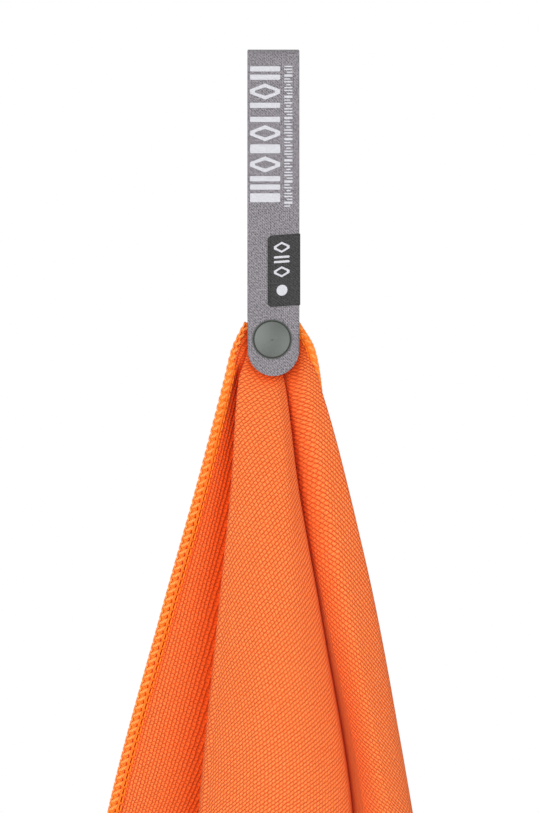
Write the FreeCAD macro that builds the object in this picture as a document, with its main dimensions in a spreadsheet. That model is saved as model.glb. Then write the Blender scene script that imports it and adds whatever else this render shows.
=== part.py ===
"""Quick dry towel with a press-stud hanging loop, as a parametric FreeCAD document.

Millimetres. +X runs along the rail that the loop hangs on, +Z is up and the towel's front faces -Y.
The origin is the centre of the loop's top bend, which is the axis of the largest rail that it takes.
The towel is a sheet of 500 x 1000 mm, hung from the middle of a short edge.
"""
import FreeCAD, Part
import math
import os

import Sketcher
from FreeCAD import Placement, Rotation, Vector

# Driving dimensions. A word ending in _x, _y or _z is a place, the others are sizes.
SIZES = {
    "ribbon_width": 20.0,
    "ribbon_thickness": 1.0,
    "bend_radius": 2.5,
    "stub_length": 0.5,
    "fold_gap": 0.3,
    "back_leg_end_z": -121.5,
    "back_leg_corner": 9.9,
    "tip_centre_z": -112.2,
    "snap_x": -0.5,
    "snap_z": -108.1,
    "rivet_hole_radius": 1.7,
    "cap_radius": 7.6,
    "cap_height": 1.8,
    "cap_wall": 0.4,
    "cap_lip": 0.1,
    "cap_lip_radius": 5.6,
    "cap_step_height": 0.4,
    "dome_radius": 6.7,
    "dome_edge_height": 1.15,
    "rivet_disc_radius": 6.5,
    "rivet_disc_thickness": 0.4,
    "rivet_post_radius": 1.6,
    "rivet_collar_radius": 2.6,
    "rivet_collar_thickness": 0.4,
    "socket_radius": 6.2,
    "socket_base": 0.4,
    "socket_bore_radius": 3.1,
    "socket_lip_radius": 2.95,
    "socket_depth": 3.9,
    "socket_face": 0.1,
    "socket_step": 0.7,
    "socket_shoulder": 0.9,
    "socket_nose": 1.3,
    "groove_radius": 4.6,
    "groove_width": 0.8,
    "spring_wire_radius": 0.25,
    "spring_half_width": 2.6,
    "spring_leg": 4.7,
    "stud_flange_radius": 5.3,
    "stud_flange_thickness": 0.5,
    "stud_neck_radius": 2.3,
    "stud_neck_length": 1.7,
    "stud_head_radius": 2.75,
    "stud_head_length": 1.4,
    "stud_bore_radius": 1.55,
    "stud_wall": 0.4,
    "eyelet_flange_radius": 5.2,
    "eyelet_flange_thickness": 0.5,
    "eyelet_post_radius": 1.45,
    "label_width": 12.3,
    "label_height": 27.7,
    "label_thickness": 0.3,
    "label_top_z": -67.7,
    "label_gap": 0.02,
    "label_stitch_pitch": 2.3,
    "label_stitch_length": 1.5,
    "stitch_radius": 0.15,
    "seam_half_width": 6.4,
    "seam_top_z": -102.35,
    "seam_bottom_z": -118.2,
    "seam_stitch_pitch": 3.2,
    "seam_stitch_length": 2.4,
    "head_thickness": 2.0,
    "head_top_z": -101.5,
    "head_bottom_z": -124.4,
    "overlock_radius": 1.5,
    "overlock_gap": 0.05,
    "swing_y": 5.0,
    "swing_z": -130.0,
    "neck_radius": 4.0,
    "neck_left_x": -19.5,
    "neck_right_x": 17.5,
    "neck_end_z": -165.0,
    "neck_end_left_x": -27.5,
    "neck_end_right_x": 26.5,
    "neck_end_half": 7.0,
    "side_start_share": 0.12,
    "fan_start_z": -150.0,
    "corner_z": -343.0,
    "hem_z": -1120.0,
    "cloth_thickness": 2.0,
    "thread_row_end": 1.2,
}

# The hung towel's folds at the level of its upper corners, seen from above: x and y of each fold.
# The first and the last are the sheet's own long edges, and y counts from the swing axis.
FOLDS = (
    (-74.0, 0.2),
    (20.0, -1.8),
    (-33.0, -13.3),
    (33.0, -23.3),
    (66.0, -3.8),
    (-50.0, 12.2),
    (40.0, 24.2),
)
# How the fold plan shrinks towards the loop and spreads towards the hem: level, x scale, y scale, thickness.
FOLD_LEVELS = (
    ("fan_start_z", 0.37, 0.28, 0.45),
    ("corner_z", 1.0, 1.0, 1.0),
    ("hem_z", 1.13, 1.1, 1.0),
)
# The flat piece of cloth behind the strap: its left and right outline from the top down, as x and depth below
# the head's top. The overlocked edge stands outside it.
HEAD_LEFT = ((-9.0, 0.0), (-12.6, 4.4), (-14.4, 12.0), (-16.2, 22.9))
HEAD_RIGHT = ((9.0, 1.0), (13.2, 6.0), (15.0, 13.0), (15.2, 22.9))
# A length below which two places count as the same, in millimetres.
TINY = 0.01

doc = FreeCAD.newDocument("QuickDryTowel")
sheet = doc.addObject("Spreadsheet::Sheet", "Sizes")


def fill_sheet():
    """Writes every driving dimension in the sheet, with its name beside it."""
    for row, (word, value) in enumerate(SIZES.items(), start=1):
        sheet.set(f"A{row}", word)
        sheet.set(f"B{row}", repr(value))
        sheet.setAlias(f"B{row}", word)
    doc.recompute()


def size(word):
    """A driving dimension, read from the sheet."""
    return float(getattr(sheet, word))


def bind(text):
    """An expression in which each driving dimension's word is written out as a sheet reference."""
    words = sorted(SIZES, key=len, reverse=True)
    parts = text.replace("(", " ( ").replace(")", " ) ").split()
    return " ".join(f"Sizes.{part}" if part in words else part for part in parts)


# ---------------------------------------------------------------- helpers


def new_body(label):
    body = doc.addObject("PartDesign::Body", label)
    body.Label = label
    return body


def new_sketch(body, role, name):
    """A sketch on one of the body's own origin planes."""
    sketch = body.newObject("Sketcher::SketchObject", name)
    plane = [item for item in body.Origin.OriginFeatures if item.Role == role][0]
    sketch.AttachmentSupport = [(plane, "")]
    sketch.MapMode = "FlatFace"
    return sketch


def evaluate(expression):
    """The value of an expression of driving dimensions, to start a sketch near its solved shape."""
    return float(sheet.evalExpression(bind(expression)))


def dimension(sketch, name, expression, *arguments):
    """A sketch dimension that follows the sheet."""
    index = sketch.addConstraint(Sketcher.Constraint(*arguments, evaluate(expression)))
    sketch.renameConstraint(index, name)
    sketch.setExpression(f"Constraints.{name}", bind(expression))


def outline(sketch, points, dome=None):
    """A closed run of straight lines. Each point is a pair of expressions. The run that starts at the point
    number dome is an arc about a centre on the vertical axis, and ends on that axis."""
    values = [Vector(evaluate(x), evaluate(y), 0) for x, y in points]
    count = len(points)
    for i in range(count):
        start, end = values[i], values[(i + 1) % count]
        if i == dome:
            centre_y = (end.y ** 2 - start.y ** 2 - start.x ** 2) / (2 * (end.y - start.y))
            round_run = Part.Circle(Vector(0, centre_y, 0), Vector(0, 0, 1), end.y - centre_y)
            first = math.atan2(start.y - centre_y, start.x)
            sketch.addGeometry(Part.ArcOfCircle(round_run, first, math.pi / 2), False)
        else:
            sketch.addGeometry(Part.LineSegment(start, end), False)
    for i in range(count):
        sketch.addConstraint(Sketcher.Constraint("Coincident", i, 2, (i + 1) % count, 1))
    for i, (x, y) in enumerate(points):
        dimension(sketch, f"px{i}", x, "DistanceX", -1, 1, i, 1)
        dimension(sketch, f"py{i}", y, "DistanceY", -1, 1, i, 1)
    if dome is not None:
        sketch.addConstraint(Sketcher.Constraint("PointOnObject", dome, 3, -2))


def circle(sketch, x, y, radius):
    """A circle whose centre and radius follow the sheet."""
    centre = Vector(evaluate(x), evaluate(y), 0)
    i = sketch.addGeometry(Part.Circle(centre, Vector(0, 0, 1), evaluate(radius)), False)
    dimension(sketch, f"cx{i}", x, "DistanceX", -1, 1, i, 3)
    dimension(sketch, f"cy{i}", y, "DistanceY", -1, 1, i, 3)
    dimension(sketch, f"r{i}", radius, "Radius", i)


def pad(body, sketch, length, symmetric=False):
    feature = body.newObject("PartDesign::Pad", sketch.Name + "_pad")
    feature.Profile = sketch
    feature.Midplane = symmetric
    feature.setExpression("Length", bind(length))
    sketch.Visibility = False
    doc.recompute()
    return feature


def drill(body, x, y, radius):
    """A round hole along Y through the whole body. The volume shows that it cut."""
    before = body.Shape.Volume
    sketch = new_sketch(body, "XZ_Plane", body.Label + "_hole")
    circle(sketch, x, y, radius)
    feature = body.newObject("PartDesign::Pocket", body.Label + "_pocket")
    feature.Profile = sketch
    feature.Type = "ThroughAll"
    feature.Midplane = True
    doc.recompute()
    if body.Shape.Volume >= before:
        raise RuntimeError(f"the hole in {body.Label} cut nothing")
    return feature


def turned(label, points, dome=None):
    """A piece turned about the snap's axis: its profile is radius and height, from a list of expressions.
    Its own +Z points out of the front of the snap."""
    body = new_body(label)
    sketch = new_sketch(body, "XZ_Plane", label + "_profile")
    outline(sketch, points, dome)
    feature = body.newObject("PartDesign::Revolution", label + "_turned")
    feature.Profile = sketch
    feature.ReferenceAxis = (sketch, ["V_Axis"])
    feature.Angle = 360
    doc.recompute()
    place_on_snap(body)
    return body


def place_on_snap(body):
    """Lays a piece's own +Z along the row's -Y, on the snap's centre."""
    body.Placement = Placement(Vector(0, 0, 0), Rotation(Vector(1, 0, 0), 90))
    body.setExpression("Placement.Base.x", bind("snap_x"))
    body.setExpression("Placement.Base.z", bind("snap_z"))


def round_edges(body, radius, wanted):
    """Rounds the edges of the body's last feature for which wanted(edge) is true. radius is an expression."""
    base = body.Tip
    names = [f"Edge{i}" for i, edge in enumerate(base.Shape.Edges, start=1) if wanted(edge)]
    feature = body.newObject("PartDesign::Fillet", body.Label + "_round")
    feature.Base = (base, names)
    feature.Radius = evaluate(radius)
    feature.setExpression("Radius", bind(radius))
    doc.recompute()


def free_form(label, shape):
    """A piece whose shape comes from Part's own functions and the sheet's sizes."""
    feature = doc.addObject("Part::Feature", label)
    feature.Label = label
    feature.Shape = shape
    feature.Placement = Placement(Vector(0, 0, 0), Rotation())
    return feature


def tube_along(points, radius):
    """Round thread bundle along straight runs, with round corners."""
    solid = Part.makeSphere(radius, points[0])
    for start, end in zip(points, points[1:]):
        run = end - start
        solid = solid.fuse(Part.makeCylinder(radius, run.Length, start, run))
        solid = solid.fuse(Part.makeSphere(radius, end))
    return solid.removeSplitter()


# ---------------------------------------------------------------- the strap


def make_strap_back():
    """The ribbon's back leg with its round end, its bend over the rail and the short stub in front."""
    body = new_body("strap_back")
    sketch = new_sketch(body, "YZ_Plane", "strap_back_side")
    inner, thick = size("bend_radius"), size("ribbon_thickness")
    outer, stub, end = inner + thick, size("stub_length"), size("back_leg_end_z")
    centre, up = Vector(0, 0, 0), Vector(0, 0, 1)
    end_centre = Vector(-inner - thick / 2, -stub, 0)
    sketch.addGeometry([
        Part.ArcOfCircle(Part.Circle(centre, up, outer), 0, math.pi),
        Part.LineSegment(Vector(-outer, 0, 0), Vector(-outer, -stub, 0)),
        Part.ArcOfCircle(Part.Circle(end_centre, up, thick / 2), math.pi, 2 * math.pi),
        Part.LineSegment(Vector(-inner, -stub, 0), Vector(-inner, 0, 0)),
        Part.ArcOfCircle(Part.Circle(centre, up, inner), 0, math.pi),
        Part.LineSegment(Vector(inner, 0, 0), Vector(inner, end, 0)),
        Part.LineSegment(Vector(inner, end, 0), Vector(outer, end, 0)),
        Part.LineSegment(Vector(outer, end, 0), Vector(outer, 0, 0)),
    ], False)
    joins = ((0, 2, 1, 1), (1, 2, 2, 1), (2, 2, 3, 1), (3, 2, 4, 2), (4, 1, 5, 1), (5, 2, 6, 1), (6, 2, 7, 1),
             (7, 2, 0, 1))
    for join in joins:
        sketch.addConstraint(Sketcher.Constraint("Coincident", *join))
    for arc in (0, 4):
        sketch.addConstraint(Sketcher.Constraint("Coincident", arc, 3, -1, 1))
    for line in (1, 3, 5, 7):
        sketch.addConstraint(Sketcher.Constraint("Vertical", line))
    sketch.addConstraint(Sketcher.Constraint("Horizontal", 6))
    for arc in (0, 4):
        for end_of_arc in (1, 2):
            sketch.addConstraint(Sketcher.Constraint("PointOnObject", arc, end_of_arc, -1))
    dimension(sketch, "outer", "bend_radius + ribbon_thickness", "Radius", 0)
    dimension(sketch, "inner", "bend_radius", "Radius", 4)
    dimension(sketch, "round_end", "- stub_length", "DistanceY", -1, 1, 2, 3)
    dimension(sketch, "stub", "- stub_length", "DistanceY", -1, 1, 1, 2)
    dimension(sketch, "stub_inside", "- stub_length", "DistanceY", -1, 1, 3, 1)
    dimension(sketch, "leg", "back_leg_end_z", "DistanceY", -1, 1, 5, 2)
    pad(body, sketch, "ribbon_width", symmetric=True)
    round_edges(body, "back_leg_corner",
                lambda edge: edge.BoundBox.ZMax < end + TINY and edge.BoundBox.XLength < TINY)
    drill(body, "snap_x", "snap_z", "stud_bore_radius")
    return body


def make_strap_front():
    """The ribbon's front leg: a half-round tip below and a round upper end that turns under the stub."""
    body = new_body("strap_front")
    top = "- stub_length - ribbon_thickness - fold_gap"
    plate = new_sketch(body, "XZ_Plane", "strap_front_face")
    half, tip, head = size("ribbon_width") / 2, size("tip_centre_z"), evaluate(top)
    plate.addGeometry([
        Part.LineSegment(Vector(-half, head, 0), Vector(-half, tip, 0)),
        Part.ArcOfCircle(Part.Circle(Vector(0, tip, 0), Vector(0, 0, 1), half), math.pi, 2 * math.pi),
        Part.LineSegment(Vector(half, tip, 0), Vector(half, head, 0)),
        Part.LineSegment(Vector(half, head, 0), Vector(-half, head, 0)),
    ], False)
    for join in ((0, 2, 1, 1), (1, 2, 2, 1), (2, 2, 3, 1), (3, 2, 0, 1)):
        plate.addConstraint(Sketcher.Constraint("Coincident", *join))
    plate.addConstraint(Sketcher.Constraint("Vertical", 0))
    plate.addConstraint(Sketcher.Constraint("Vertical", 2))
    plate.addConstraint(Sketcher.Constraint("Horizontal", 3))
    dimension(plate, "tip_radius", "ribbon_width / 2", "Radius", 1)
    dimension(plate, "tip_x", "0", "DistanceX", -1, 1, 1, 3)
    dimension(plate, "tip_z", "tip_centre_z", "DistanceY", -1, 1, 1, 3)
    dimension(plate, "left_foot", "tip_centre_z", "DistanceY", -1, 1, 0, 2)
    dimension(plate, "right_foot", "tip_centre_z", "DistanceY", -1, 1, 2, 1)
    dimension(plate, "top", top, "DistanceY", -1, 1, 0, 1)
    pad(body, plate, "ribbon_thickness")
    knuckle = new_sketch(body, "YZ_Plane", "strap_front_round")
    circle(knuckle, "- ribbon_thickness / 2", top, "ribbon_thickness / 2")
    pad(body, knuckle, "ribbon_width", symmetric=True)
    drill(body, "snap_x", "snap_z", "rivet_hole_radius")
    body.setExpression("Placement.Base.y", bind("- bend_radius"))
    return body


# ---------------------------------------------------------------- the label and the threads


def make_side_label():
    """A woven label folded round the front leg's right edge."""
    body = new_body("side_label")
    sketch = new_sketch(body, "XY_Plane", "side_label_fold")
    right = "ribbon_width / 2 + label_gap"
    left = "ribbon_width / 2 - label_width"
    front = "- bend_radius - ribbon_thickness - label_gap"
    back = "- bend_radius + label_gap"
    outline(sketch, [
        (left, front), (right, front), (right, back), (left, back),
        (left, back + " + label_thickness"),
        (right + " + label_thickness", back + " + label_thickness"),
        (right + " + label_thickness", front + " - label_thickness"),
        (left, front + " - label_thickness"),
    ])
    pad(body, sketch, "label_height")
    body.setExpression("Placement.Base.z", bind("label_top_z - label_height"))
    return body


def stitch(name, length, place, direction):
    """One stitch: a short round thread from a place, whose length is a driving dimension."""
    thread = doc.addObject("Part::Cylinder", name)
    thread.setExpression("Radius", bind("stitch_radius"))
    thread.setExpression("Height", bind(length))
    thread.Placement = Placement(place, Rotation(Vector(0, 0, 1), direction))
    return thread


def group(label, members):
    """Loose pieces that belong to one node."""
    compound = doc.addObject("Part::Compound", label)
    compound.Label = label
    compound.Links = members
    doc.recompute()
    return compound


def make_label_stitching():
    """One row of stitches along the label's inner edge, seen on its front and on its back."""
    x = size("ribbon_width") / 2 - size("label_width") + size("thread_row_end")
    proud = size("label_gap") + size("label_thickness") + size("stitch_radius") + size("label_gap")
    front_y = -size("bend_radius") - size("ribbon_thickness") - proud
    back_y = -size("bend_radius") + proud
    pitch = size("label_stitch_pitch")
    count = int((size("label_height") - size("thread_row_end")) // pitch)
    first_z = size("label_top_z") - size("thread_row_end") - size("label_stitch_length")
    threads = []
    for i in range(count):
        for side, y in (("front", front_y), ("back", back_y)):
            place = Vector(x, y, first_z - i * pitch)
            threads.append(stitch(f"label_{side}_{i}", "label_stitch_length", place, Vector(0, 0, 1)))
    return group("label_stitching", threads)


def make_seam_stitching():
    """The square of stitches that holds the back leg on the towel, seen on the strap and behind the towel."""
    half, top, bottom = size("seam_half_width"), size("seam_top_z"), size("seam_bottom_z")
    pitch, length = size("seam_stitch_pitch"), size("seam_stitch_length")
    strap_y = size("bend_radius") - size("stitch_radius") - size("label_gap")
    cloth_y = (size("bend_radius") + size("ribbon_thickness") + size("head_thickness")
               + size("stitch_radius") + size("label_gap"))
    corners = [Vector(-half, 0, top), Vector(half, 0, top), Vector(half, 0, bottom), Vector(-half, 0, bottom)]
    threads = []
    for side, start in enumerate(corners):
        run = corners[(side + 1) % len(corners)] - start
        count = int(run.Length // pitch)
        step = run / count
        lead = step * ((1 - length / step.Length) / 2)
        for i in range(count):
            for face, y in (("strap", strap_y), ("cloth", cloth_y)):
                place = start + step * i + lead + Vector(0, y, 0)
                threads.append(stitch(f"seam_{face}_{side}_{i}", "seam_stitch_length", place, run))
    return group("seam_stitching", threads)


# ---------------------------------------------------------------- the press stud


def make_snap_cap():
    """The domed cap with its thin stepped rim, a shell rolled in round the edge."""
    seat = "bend_radius + ribbon_thickness"
    return turned("snap_cap", [
        ("cap_lip_radius", seat),
        ("cap_radius", seat),
        ("cap_radius", seat + " + cap_step_height"),
        ("cap_radius - cap_wall", seat + " + cap_step_height"),
        ("dome_radius + cap_wall / 2", seat + " + dome_edge_height - cap_wall / 2"),
        ("dome_radius", seat + " + dome_edge_height"),
        ("0", seat + " + cap_height"),
        ("0", seat + " + cap_height - cap_wall"),
        ("dome_radius - cap_wall", seat + " + dome_edge_height - cap_wall"),
        ("dome_radius", seat + " + cap_step_height + cap_lip"),
        ("dome_radius", seat + " + cap_lip"),
        ("cap_lip_radius", seat + " + cap_lip"),
    ], dome=5)


def make_cap_rivet():
    """The disc inside the cap, with the post that goes through the strap and is rolled over in the socket."""
    seat = "bend_radius + ribbon_thickness + cap_lip + label_gap"
    inside = "bend_radius - socket_base - label_gap"
    return turned("cap_rivet", [
        ("0", seat + " + rivet_disc_thickness"),
        ("rivet_disc_radius", seat + " + rivet_disc_thickness"),
        ("rivet_disc_radius", seat),
        ("rivet_post_radius", seat),
        ("rivet_post_radius", inside),
        ("rivet_collar_radius", inside),
        ("rivet_collar_radius", inside + " - rivet_collar_thickness"),
        ("0", inside + " - rivet_collar_thickness"),
    ])


def make_snap_socket():
    """The socket behind the front leg: a base disc, a thick ring and a groove in which the spring lies."""
    face = "bend_radius - socket_depth"
    groove_back = face + " + socket_face"
    return turned("snap_socket", [
        ("rivet_hole_radius", "bend_radius"),
        ("socket_radius", "bend_radius"),
        ("socket_radius", "bend_radius - socket_base"),
        ("socket_radius - socket_step", "bend_radius - socket_base - socket_base / 2"),
        ("socket_radius - socket_shoulder", face + " + socket_base"),
        ("socket_radius - socket_nose", face),
        ("socket_lip_radius", face),
        ("socket_lip_radius", groove_back),
        ("groove_radius", groove_back),
        ("groove_radius", groove_back + " + groove_width"),
        ("socket_bore_radius", groove_back + " + groove_width"),
        ("socket_bore_radius", "bend_radius - socket_base"),
        ("rivet_hole_radius", "bend_radius - socket_base"),
    ])


def make_snap_spring():
    """The hairpin spring in the socket, whose legs close behind the stud's head."""
    body = new_body("snap_spring")
    half, leg = size("spring_half_width"), size("spring_leg")
    top = size("groove_radius") - half - 2 * size("spring_wire_radius")
    path = new_sketch(body, "XY_Plane", "spring_path")
    arc = Part.ArcOfCircle(Part.Circle(Vector(0, top, 0), Vector(0, 0, 1), half), 0, math.pi)
    path.addGeometry([
        Part.LineSegment(Vector(half, top - leg, 0), Vector(half, top, 0)),
        arc,
        Part.LineSegment(Vector(-half, top, 0), Vector(-half, top - leg, 0)),
    ], False)
    path.addConstraint(Sketcher.Constraint("Tangent", 0, 2, 1, 1))
    path.addConstraint(Sketcher.Constraint("Tangent", 1, 2, 2, 1))
    path.addConstraint(Sketcher.Constraint("Vertical", 0))
    path.addConstraint(Sketcher.Constraint("Vertical", 2))
    dimension(path, "half_width", "spring_half_width", "Radius", 1)
    dimension(path, "centre_x", "0", "DistanceX", -1, 1, 1, 3)
    dimension(path, "centre_y", "groove_radius - spring_half_width - 2 * spring_wire_radius",
              "DistanceY", -1, 1, 1, 3)
    dimension(path, "leg", "spring_leg", "DistanceY", 0, 1, 0, 2)
    dimension(path, "other_leg", "spring_leg", "DistanceY", 2, 2, 2, 1)
    wire = new_sketch(body, "XZ_Plane", "spring_wire")
    circle(wire, "spring_half_width", "0", "spring_wire_radius")
    wire.AttachmentOffset = Placement(Vector(0, 0, -(top - leg)), Rotation())
    doc.recompute()
    pipe = body.newObject("PartDesign::AdditivePipe", "spring_pipe")
    pipe.Profile = wire
    pipe.Spine = (path, ["Edge1", "Edge2", "Edge3"])
    doc.recompute()
    place_on_snap(body)
    middle = "- bend_radius + socket_depth - socket_face - groove_width / 2"
    body.setExpression("Placement.Base.y", bind(middle))
    return body


def make_snap_stud():
    """The stud on the back leg: a flange, a neck and a head that the socket's spring holds."""
    base = "- bend_radius"
    neck = base + " + stud_flange_thickness"
    head = neck + " + stud_neck_length"
    return turned("snap_stud", [
        ("stud_bore_radius", base),
        ("stud_flange_radius", base),
        ("stud_flange_radius", base + " + stud_flange_thickness / 2"),
        ("stud_flange_radius - stud_wall", neck),
        ("stud_neck_radius", neck),
        ("stud_neck_radius", head + " - stud_wall"),
        ("stud_head_radius", head),
        ("stud_head_radius", head + " + stud_head_length / 2"),
        ("stud_head_radius - 2 * stud_wall", head + " + stud_head_length"),
        ("0", head + " + stud_head_length"),
        ("0", head + " + stud_head_length - stud_wall"),
        ("stud_bore_radius", head + " + stud_head_length - stud_wall"),
    ])


def make_snap_eyelet():
    """The eyelet behind the towel, whose post goes through cloth and strap and is closed inside the stud."""
    cloth_back = "- bend_radius - ribbon_thickness - head_thickness"
    return turned("snap_eyelet", [
        ("0", cloth_back),
        ("0", "0"),
        ("eyelet_post_radius", "0"),
        ("eyelet_post_radius", cloth_back),
        ("eyelet_flange_radius", cloth_back),
        ("eyelet_flange_radius", cloth_back + " - eyelet_flange_thickness / 2"),
        ("eyelet_flange_radius - eyelet_flange_thickness", cloth_back + " - eyelet_flange_thickness"),
        ("0", cloth_back + " - eyelet_flange_thickness"),
    ])


# ---------------------------------------------------------------- the towel


def make_towel_head():
    """The flat patch of towel that the strap is sewn on, behind the back leg."""
    body = new_body("towel_head")
    sketch = new_sketch(body, "XZ_Plane", "towel_head_face")
    left = [(repr(x), f"head_top_z - {depth}") for x, depth in HEAD_LEFT]
    right = [(repr(x), f"head_top_z - {depth}") for x, depth in reversed(HEAD_RIGHT)]
    outline(sketch, left + right)
    pad(body, sketch, "head_thickness")
    drill(body, "snap_x", "snap_z", "stud_bore_radius")
    body.setExpression("Placement.Base.y", bind("bend_radius + ribbon_thickness + head_thickness"))
    return body


def make_overlock_head():
    """The overlocked top edge where it comes out on both sides of the strap."""
    radius = size("overlock_radius")
    y = size("bend_radius") + size("ribbon_thickness") + size("head_thickness") / 2
    solids = []
    for side, points in ((-1, HEAD_LEFT), (1, HEAD_RIGHT)):
        out = side * (radius + size("overlock_gap")) * math.sqrt(2)
        path = [Vector(x + out, y, size("head_top_z") - depth) for x, depth in points]
        path[-1] = path[-1] + (path[-2] - path[-1]) * (radius / (path[-2] - path[-1]).Length)
        solids.append(tube_along(path, radius))
    return free_form("overlock_head", Part.makeCompound(solids))


def fold_points(level):
    """The fold plan at one level, as points at that height."""
    word, x_scale, y_scale, thick_scale = FOLD_LEVELS[level]
    return [Vector(x * x_scale, size("swing_y") + y * y_scale, size(word)) for x, y in FOLDS]


def pleated_outline(points, thickness):
    """A closed outline of a folded line of cloth. Each fold has a mitred inner corner and a cut outer one."""
    half = thickness / 2
    runs = [(b - a).normalize() for a, b in zip(points, points[1:])]
    normals = [Vector(-run.y, run.x, 0) for run in runs]
    left = [points[0] + normals[0] * half]
    right = [points[0] - normals[0] * half]
    for i in range(1, len(points) - 1):
        turn = runs[i - 1].x * runs[i].y - runs[i - 1].y * runs[i].x
        bisector = (normals[i - 1] + normals[i]).normalize()
        mitre = bisector * (half / bisector.dot(normals[i]))
        inner, outer = (left, right) if turn > 0 else (right, left)
        sign = 1 if turn > 0 else -1
        inner.append(points[i] + mitre * sign)
        outer.append(points[i] - normals[i - 1] * half * sign)
        outer.append(points[i] - normals[i] * half * sign)
    left.append(points[-1] + normals[-1] * half)
    right.append(points[-1] - normals[-1] * half)
    corners = left + right[::-1]
    return Part.makePolygon(corners + corners[:1])


def make_towel_body():
    """The hanging cloth: a neck that turns on the seam, and below it one folded sheet down to the hem."""
    wires = []
    for level, (word, x_scale, y_scale, thick_scale) in enumerate(FOLD_LEVELS):
        wires.append(pleated_outline(fold_points(level), size("cloth_thickness") * thick_scale))
    cloth = Part.makeLoft(wires, True, True)
    z, radius = size("swing_z"), size("neck_radius")
    left, right = size("neck_left_x"), size("neck_right_x")
    neck = Part.makeCylinder(radius, right - left, Vector(left, size("swing_y"), z), Vector(1, 0, 0))
    top = neck_outline(left, right, radius, z)
    bottom = neck_outline(size("neck_end_left_x"), size("neck_end_right_x"), size("neck_end_half"),
                          size("neck_end_z"))
    wedge = Part.makeLoft([top, bottom], True, True)
    return free_form("towel_body", neck.fuse(wedge).fuse(cloth).removeSplitter())


def neck_outline(left, right, half, z):
    """The rectangle round the gathered cloth at one level of the neck."""
    y = size("swing_y")
    corners = [Vector(left, y - half, z), Vector(right, y - half, z), Vector(right, y + half, z),
               Vector(left, y + half, z)]
    return Part.makePolygon(corners + corners[:1])


def edge_path(index):
    """The line just outside one long edge of the hanging cloth, from the neck to the hem."""
    out = size("overlock_radius") + size("overlock_gap")
    path = []
    for level in range(len(FOLD_LEVELS)):
        points = fold_points(level)
        run = (points[index] - points[1 if index == 0 else -2]).normalize()
        path.append(points[index] + run * out)
    return path


def make_overlock_side(label, index):
    """The overlocked long edge at one end of the fold plan."""
    path = edge_path(index)
    start = path[0] + (path[1] - path[0]) * size("side_start_share")
    end = path[-1] + (path[-2] - path[-1]) * (size("overlock_radius") / (path[-2] - path[-1]).Length)
    return free_form(label, tube_along([start, path[1], end], size("overlock_radius")))


def make_overlock_hem():
    """The overlocked bottom edge, which follows the folds."""
    points = fold_points(len(FOLD_LEVELS) - 1)
    drop = Vector(0, 0, -size("overlock_radius") - size("overlock_gap"))
    return free_form("overlock_hem", tube_along([p + drop for p in points], size("overlock_radius")))


# ---------------------------------------------------------------- the document


def make_all():
    fill_sheet()
    return [
        make_strap_back(), make_strap_front(), make_side_label(), make_label_stitching(),
        make_seam_stitching(), make_snap_cap(), make_cap_rivet(), make_snap_socket(), make_snap_spring(),
        make_snap_stud(), make_snap_eyelet(), make_towel_head(), make_overlock_head(), make_towel_body(),
        make_overlock_side("overlock_left", 0), make_overlock_side("overlock_right", -1), make_overlock_hem(),
    ]


def check(pieces):
    """Stops if any object of the document failed or any piece's shape is null or not valid."""
    doc.recompute()
    for item in doc.Objects:
        if {"Invalid", "Error"} & set(item.State):
            raise RuntimeError(f"{item.Label} failed: {item.State}")
    for piece in pieces:
        if piece.Shape.isNull() or not piece.Shape.isValid():
            raise RuntimeError(f"{piece.Label} has no valid shape")
        print(piece.Label, len(piece.Shape.Solids), round(piece.Shape.Volume, 2))


def write(pieces):
    os.makedirs("parts", exist_ok=True)
    for piece in pieces:
        piece.Shape.exportStep(os.path.join("parts", piece.Label + ".step"))


pieces = make_all()
check(pieces)
write(pieces)
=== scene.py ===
"""Looks of the quick dry towel: one folded sheet of knit cloth with an overlocked edge, hung by a ribbon
loop that closes with a press stud. Sizes here are in millimetres, and add_mesh turns them into metres, in the
CAD model's frame."""

import itertools
import math

import bpy
import numpy as np
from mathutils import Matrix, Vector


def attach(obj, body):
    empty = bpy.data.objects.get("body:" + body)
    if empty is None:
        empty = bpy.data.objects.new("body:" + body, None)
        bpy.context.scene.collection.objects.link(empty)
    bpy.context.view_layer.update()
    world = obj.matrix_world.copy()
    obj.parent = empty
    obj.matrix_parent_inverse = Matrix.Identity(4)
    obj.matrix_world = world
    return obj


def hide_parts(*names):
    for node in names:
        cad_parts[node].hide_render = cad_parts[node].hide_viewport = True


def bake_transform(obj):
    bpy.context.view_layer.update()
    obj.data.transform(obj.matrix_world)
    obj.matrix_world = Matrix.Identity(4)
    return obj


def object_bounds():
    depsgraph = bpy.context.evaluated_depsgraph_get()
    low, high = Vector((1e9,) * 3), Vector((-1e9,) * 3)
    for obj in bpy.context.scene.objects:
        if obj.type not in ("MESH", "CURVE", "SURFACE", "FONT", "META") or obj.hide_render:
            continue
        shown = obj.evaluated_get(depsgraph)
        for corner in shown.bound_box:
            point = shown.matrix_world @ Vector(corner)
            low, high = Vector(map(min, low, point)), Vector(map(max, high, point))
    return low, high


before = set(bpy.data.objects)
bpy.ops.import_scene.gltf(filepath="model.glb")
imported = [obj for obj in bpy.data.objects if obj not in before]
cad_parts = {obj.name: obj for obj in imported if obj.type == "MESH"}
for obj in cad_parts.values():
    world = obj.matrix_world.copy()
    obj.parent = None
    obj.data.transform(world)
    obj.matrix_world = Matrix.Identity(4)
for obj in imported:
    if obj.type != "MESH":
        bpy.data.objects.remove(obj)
cad_low, cad_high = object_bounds()

MM = 0.001

# ---------------------------------------------------------------- sizes, in millimetres

CLOTH_THICK = 1.5
CLOTH_Y = 4.5  # of the flat patch behind the strap
KNIT_PITCH = 1.45  # between courses, away from the strap
CLOSE_REACH = 50.0  # how far from the strap the knit stays finer
TURN_LEAST = 140.0  # least distance from the strap at which a column turns to run down the sheet

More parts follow.
